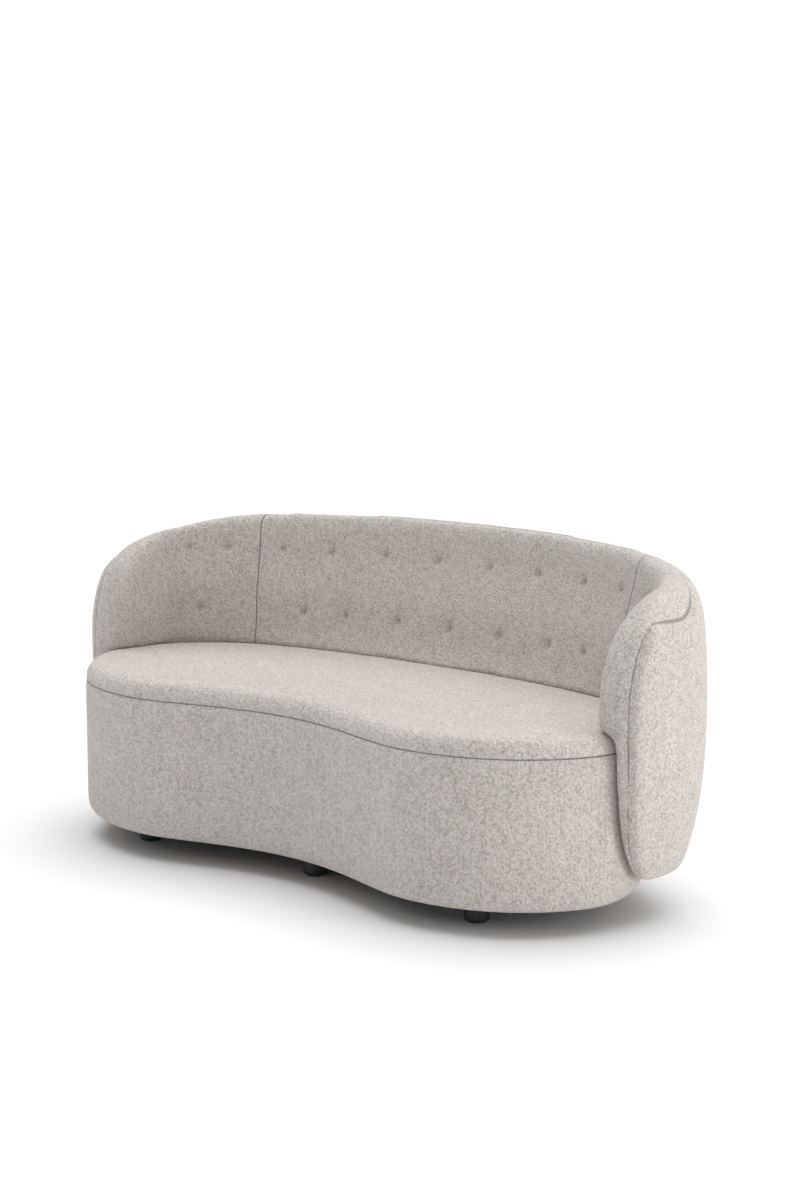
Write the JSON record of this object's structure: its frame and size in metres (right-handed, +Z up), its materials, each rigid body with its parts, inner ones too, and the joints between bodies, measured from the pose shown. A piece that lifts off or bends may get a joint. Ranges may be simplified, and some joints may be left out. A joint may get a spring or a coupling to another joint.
{
  "type": "sofa",
  "caption": "Bean-shaped two-seat upholstered sofa with a wrap-around tufted shell back on low round feet",
  "frame": {"origin": "on the floor, under the middle of the sofa's box", "axes": "+X along the sofa, to the right as seen from the front; -Y towards the front; +Z up"},
  "size_m": [1.7278, 0.805, 0.762],
  "materials": {
    "boucle": "off-white looped boucle",
    "stained_wood": "black-stained, satin lacquer",
    "plywood": "sanded birch plywood",
    "pine": "planed softwood",
    "hardboard": "smooth hardboard",
    "foam": "polyurethane foam",
    "felt": "needled felt",
    "dust_cloth": "black nonwoven cloth",
    "spring_steel": "oil-tempered wire",
    "zinc_steel": "zinc plated",
    "cord": "waxed twine",
    "toggle": "moulded disc"
  },
  "bodies": {
    "root": {"base_bottom_panel": "plywood", "base_seat_ring": "plywood", "base_posts": "pine", "base_cross_rails": "pine", "base_skin_board": "hardboard", "base_side_foam": "foam", "base_side_cover": "boucle", "base_dust_cover": "dust_cloth", "seat_springs": "spring_steel", "seat_spring_clips": "spring_steel", "seat_felt_pad": "felt", "seat_foam": "foam", "seat_cover": "boucle", "back_inner_cover_center": "boucle", "back_inner_cover_left": "boucle", "back_inner_cover_right": "boucle", "back_outer_cover_center": "boucle", "back_outer_cover_left": "boucle", "back_outer_cover_right": "boucle", "back_base_lining": "dust_cloth", "back_inner_foam": "foam", "back_outer_padding": "foam", "back_inner_board": "hardboard", "back_outer_board": "hardboard", "back_ribs": "plywood", "back_top_rail": "plywood", "back_seat_rail": "plywood", "back_bottom_rail": "plywood", "back_fixing_rail": "plywood", "back_bolts": "zinc_steel", "back_bolt_nuts": "zinc_steel", "tuft_cords": "cord", "tuft_toggles": "toggle", "foot_bolts": "zinc_steel", "foot_tee_nuts": "zinc_steel", "foot_glides": "felt", "foot_front_left": "stained_wood", "foot_front_center": "stained_wood", "foot_front_right": "stained_wood", "foot_rear_left": "stained_wood", "foot_rear_center": "stained_wood", "foot_rear_right": "stained_wood"}
  },
  "joints": []
}
